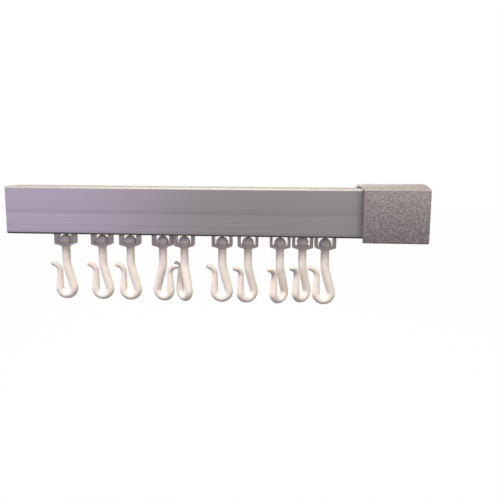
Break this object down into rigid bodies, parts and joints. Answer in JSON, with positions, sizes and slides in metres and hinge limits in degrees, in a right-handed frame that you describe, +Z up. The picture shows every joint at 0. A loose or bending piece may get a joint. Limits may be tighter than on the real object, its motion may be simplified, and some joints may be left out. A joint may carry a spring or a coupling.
{
  "type": "curtain track",
  "caption": "Box-section curtain track with an arched end bracket, rolling stirrup runners under its slot and swan-neck hooks that swivel in them.",
  "frame": {"origin": "centre of the end bracket's wall face, level with the middle of the rail", "axes": "+X out of the wall face, so the track runs towards -X; +Z up; the room side of the track faces -Y"},
  "size_m": [0.3009, 0.034, 0.0894],
  "materials": {
    "rail_aluminium": "extruded, satin anodised, warm grey",
    "bracket_cast": "die casting with a finely wrinkled powder coat, purplish grey",
    "fastener_steel": "zinc plated",
    "runner_plastic": "moulded, cream white",
    "wheel_plastic": "moulded, off white",
    "axle_steel": "drawn pin with upset ends",
    "hook_plastic": "moulded, cream white"
  },
  "bodies": {
    "frame": {"rail": "rail_aluminium", "end_bracket": "bracket_cast", "grub_screw_1": "fastener_steel", "grub_screw_2": "fastener_steel"},
    "runner_01": {"runner_01_body": "runner_plastic"},
    "wheelset_01": {"runner_01_axle": "axle_steel", "runner_01_wheel_front": "wheel_plastic", "runner_01_wheel_back": "wheel_plastic"},
    "swivel_hook_01": {"hook_01": "hook_plastic"},
    "runner_02": {"runner_02_body": "runner_plastic"},
    "wheelset_02": {"runner_02_axle": "axle_steel", "runner_02_wheel_front": "wheel_plastic", "runner_02_wheel_back": "wheel_plastic"},
    "swivel_hook_02": {"hook_02": "hook_plastic"},
    "runner_03": {"runner_03_body": "runner_plastic"},
    "wheelset_03": {"runner_03_axle": "axle_steel", "runner_03_wheel_front": "wheel_plastic", "runner_03_wheel_back": "wheel_plastic"},
    "swivel_hook_03": {"hook_03": "hook_plastic"},
    "runner_04": {"runner_04_body": "runner_plastic"},
    "wheelset_04": {"runner_04_axle": "axle_steel", "runner_04_wheel_front": "wheel_plastic", "runner_04_wheel_back": "wheel_plastic"},
    "swivel_hook_04": {"hook_04": "hook_plastic"},
    "runner_05": {"runner_05_body": "runner_plastic"},
    "wheelset_05": {"runner_05_axle": "axle_steel", "runner_05_wheel_front": "wheel_plastic", "runner_05_wheel_back": "wheel_plastic"},
    "swivel_hook_05": {"hook_05": "hook_plastic"},
    "runner_06": {"runner_06_body": "runner_plastic"},
    "wheelset_06": {"runner_06_axle": "axle_steel", "runner_06_wheel_front": "wheel_plastic", "runner_06_wheel_back": "wheel_plastic"},
    "swivel_hook_06": {"hook_06": "hook_plastic"},
    "runner_07": {"runner_07_body": "runner_plastic"},
    "wheelset_07": {"runner_07_axle": "axle_steel", "runner_07_wheel_front": "wheel_plastic", "runner_07_wheel_back": "wheel_plastic"},
    "swivel_hook_07": {"hook_07": "hook_plastic"},
    "runner_08": {"runner_08_body": "runner_plastic"},
    "wheelset_08": {"runner_08_axle": "axle_steel", "runner_08_wheel_front": "wheel_plastic", "runner_08_wheel_back": "wheel_plastic"},
    "swivel_hook_08": {"hook_08": "hook_plastic"},
    "runner_09": {"runner_09_body": "runner_plastic"},
    "wheelset_09": {"runner_09_axle": "axle_steel", "runner_09_wheel_front": "wheel_plastic", "runner_09_wheel_back": "wheel_plastic"},
    "swivel_hook_09": {"hook_09": "hook_plastic"},
    "runner_10": {"runner_10_body": "runner_plastic"},
    "wheelset_10": {"runner_10_axle": "axle_steel", "runner_10_wheel_front": "wheel_plastic", "runner_10_wheel_back": "wheel_plastic"},
    "swivel_hook_10": {"hook_10": "hook_plastic"}
  },
  "joints": [
    {"name": "runner_01_slide", "type": "slide", "parent": "frame", "child": "runner_01", "axis": [1, 0, 0], "range_m": [-0.0314, 0.0106]},
    {"name": "hook_01_swivel", "type": "hinge", "parent": "runner_01", "child": "swivel_hook_01", "pos_m": [-0.26165, 0, -0.02415], "axis": [0, 0, 1], "continuous": true},
    {"name": "wheelset_01_spin", "type": "hinge", "parent": "runner_01", "child": "wheelset_01", "pos_m": [-0.26165, 0, -0.00835], "axis": [0, 1, 0], "range_deg": [-258, 87]},
    {"name": "runner_02_slide", "type": "slide", "parent": "frame", "child": "runner_02", "axis": [1, 0, 0], "range_m": [-0.0106, 0.004]},
    {"name": "hook_02_swivel", "type": "hinge", "parent": "runner_02", "child": "swivel_hook_02", "pos_m": [-0.23365, 0, -0.02415], "axis": [0, 0, 1], "range_deg": [-150, 150]},
    {"name": "wheelset_02_spin", "type": "hinge", "parent": "runner_02", "child": "wheelset_02", "pos_m": [-0.23365, 0, -0.00835], "axis": [0, 1, 0], "range_deg": [-87, 33]},
    {"name": "runner_03_slide", "type": "slide", "parent": "frame", "child": "runner_03", "axis": [1, 0, 0], "range_m": [-0.004, 0.0083]},
    {"name": "hook_03_swivel", "type": "hinge", "parent": "runner_03", "child": "swivel_hook_03", "pos_m": [-0.21225, 0, -0.02415], "axis": [0, 0, 1], "range_deg": [-150, 160]},
    {"name": "wheelset_03_spin", "type": "hinge", "parent": "runner_03", "child": "wheelset_03", "pos_m": [-0.21225, 0, -0.00835], "axis": [0, 1, 0], "range_deg": [-33, 68]},
    {"name": "runner_04_slide", "type": "slide", "parent": "frame", "child": "runner_04", "axis": [1, 0, 0], "range_m": [-0.0083, 0.0005]},
    {"name": "hook_04_swivel", "type": "hinge", "parent": "runner_04", "child": "swivel_hook_04", "pos_m": [-0.18765, 0, -0.02415], "axis": [0, 0, 1], "range_deg": [-165, 12]},
    {"name": "wheelset_04_spin", "type": "hinge", "parent": "runner_04", "child": "wheelset_04", "pos_m": [-0.18765, 0, -0.00835], "axis": [0, 1, 0], "range_deg": [-68, 5]},
    {"name": "runner_05_slide", "type": "slide", "parent": "frame", "child": "runner_05", "axis": [1, 0, 0], "range_m": [-0.0005, 0.0122]},
    {"name": "hook_05_swivel", "type": "hinge", "parent": "runner_05", "child": "swivel_hook_05", "pos_m": [-0.17145, 0, -0.02415], "axis": [0, 0, 1], "range_deg": [-100, 10]},
    {"name": "wheelset_05_spin", "type": "hinge", "parent": "runner_05", "child": "wheelset_05", "pos_m": [-0.17145, 0, -0.00835], "axis": [0, 1, 0], "range_deg": [-5, 100]},
    {"name": "runner_06_slide", "type": "slide", "parent": "frame", "child": "runner_06", "axis": [1, 0, 0], "range_m": [-0.0122, 0.0029]},
    {"name": "hook_06_swivel", "type": "hinge", "parent": "runner_06", "child": "swivel_hook_06", "pos_m": [-0.14315, 0, -0.02415], "axis": [0, 0, 1], "range_deg": [-150, 125]},
    {"name": "wheelset_06_spin", "type": "hinge", "parent": "runner_06", "child": "wheelset_06", "pos_m": [-0.14315, 0, -0.00835], "axis": [0, 1, 0], "range_deg": [-100, 24]},
    {"name": "runner_07_slide", "type": "slide", "parent": "frame", "child": "runner_07", "axis": [1, 0, 0], "range_m": [-0.0029, 0.0078]},
    {"name": "hook_07_swivel", "type": "hinge", "parent": "runner_07", "child": "swivel_hook_07", "pos_m": [-0.12405, 0, -0.02415], "axis": [0, 0, 1], "range_deg": [-170, 170]},
    {"name": "wheelset_07_spin", "type": "hinge", "parent": "runner_07", "child": "wheelset_07", "pos_m": [-0.12405, 0, -0.00835], "axis": [0, 1, 0], "range_deg": [-24, 64]},
    {"name": "runner_08_slide", "type": "slide", "parent": "frame", "child": "runner_08", "axis": [1, 0, 0], "range_m": [-0.0078, 0.0007]},
    {"name": "hook_08_swivel", "type": "hinge", "parent": "runner_08", "child": "swivel_hook_08", "pos_m": [-0.10055, 0, -0.02415], "axis": [0, 0, 1], "range_deg": [-170, 72]},
    {"name": "wheelset_08_spin", "type": "hinge", "parent": "runner_08", "child": "wheelset_08", "pos_m": [-0.10055, 0, -0.00835], "axis": [0, 1, 0], "range_deg": [-64, 6]},
    {"name": "runner_09_slide", "type": "slide", "parent": "frame", "child": "runner_09", "axis": [1, 0, 0], "range_m": [-0.0007, 0.0002]},
    {"name": "hook_09_swivel", "type": "hinge", "parent": "runner_09", "child": "swivel_hook_09", "pos_m": [-0.08415, 0, -0.02415], "axis": [0, 0, 1], "range_deg": [-10, 98]},
    {"name": "wheelset_09_spin", "type": "hinge", "parent": "runner_09", "child": "wheelset_09", "pos_m": [-0.08415, 0, -0.00835], "axis": [0, 1, 0], "range_deg": [-6, 2]},
    {"name": "runner_10_slide", "type": "slide", "parent": "frame", "child": "runner_10", "axis": [1, 0, 0], "range_m": [-0.0002, 0.0155]},
    {"name": "hook_10_swivel", "type": "hinge", "parent": "runner_10", "child": "swivel_hook_10", "pos_m": [-0.06775, 0, -0.02415], "axis": [0, 0, 1], "range_deg": [-170, 170]},
    {"name": "wheelset_10_spin", "type": "hinge", "parent": "runner_10", "child": "wheelset_10", "pos_m": [-0.06775, 0, -0.00835], "axis": [0, 1, 0], "range_deg": [-2, 127]}
  ],
  "couplings": [
    {"joint": "wheelset_01_spin", "follows": "runner_01_slide", "rad_per_m": 142.86},
    {"joint": "wheelset_02_spin", "follows": "runner_02_slide", "rad_per_m": 142.86},
    {"joint": "wheelset_03_spin", "follows": "runner_03_slide", "rad_per_m": 142.86},
    {"joint": "wheelset_04_spin", "follows": "runner_04_slide", "rad_per_m": 142.86},
    {"joint": "wheelset_05_spin", "follows": "runner_05_slide", "rad_per_m": 142.86},
    {"joint": "wheelset_06_spin", "follows": "runner_06_slide", "rad_per_m": 142.86},
    {"joint": "wheelset_07_spin", "follows": "runner_07_slide", "rad_per_m": 142.86},
    {"joint": "wheelset_08_spin", "follows": "runner_08_slide", "rad_per_m": 142.86},
    {"joint": "wheelset_09_spin", "follows": "runner_09_slide", "rad_per_m": 142.86},
    {"joint": "wheelset_10_spin", "follows": "runner_10_slide", "rad_per_m": 142.86}
  ]
}
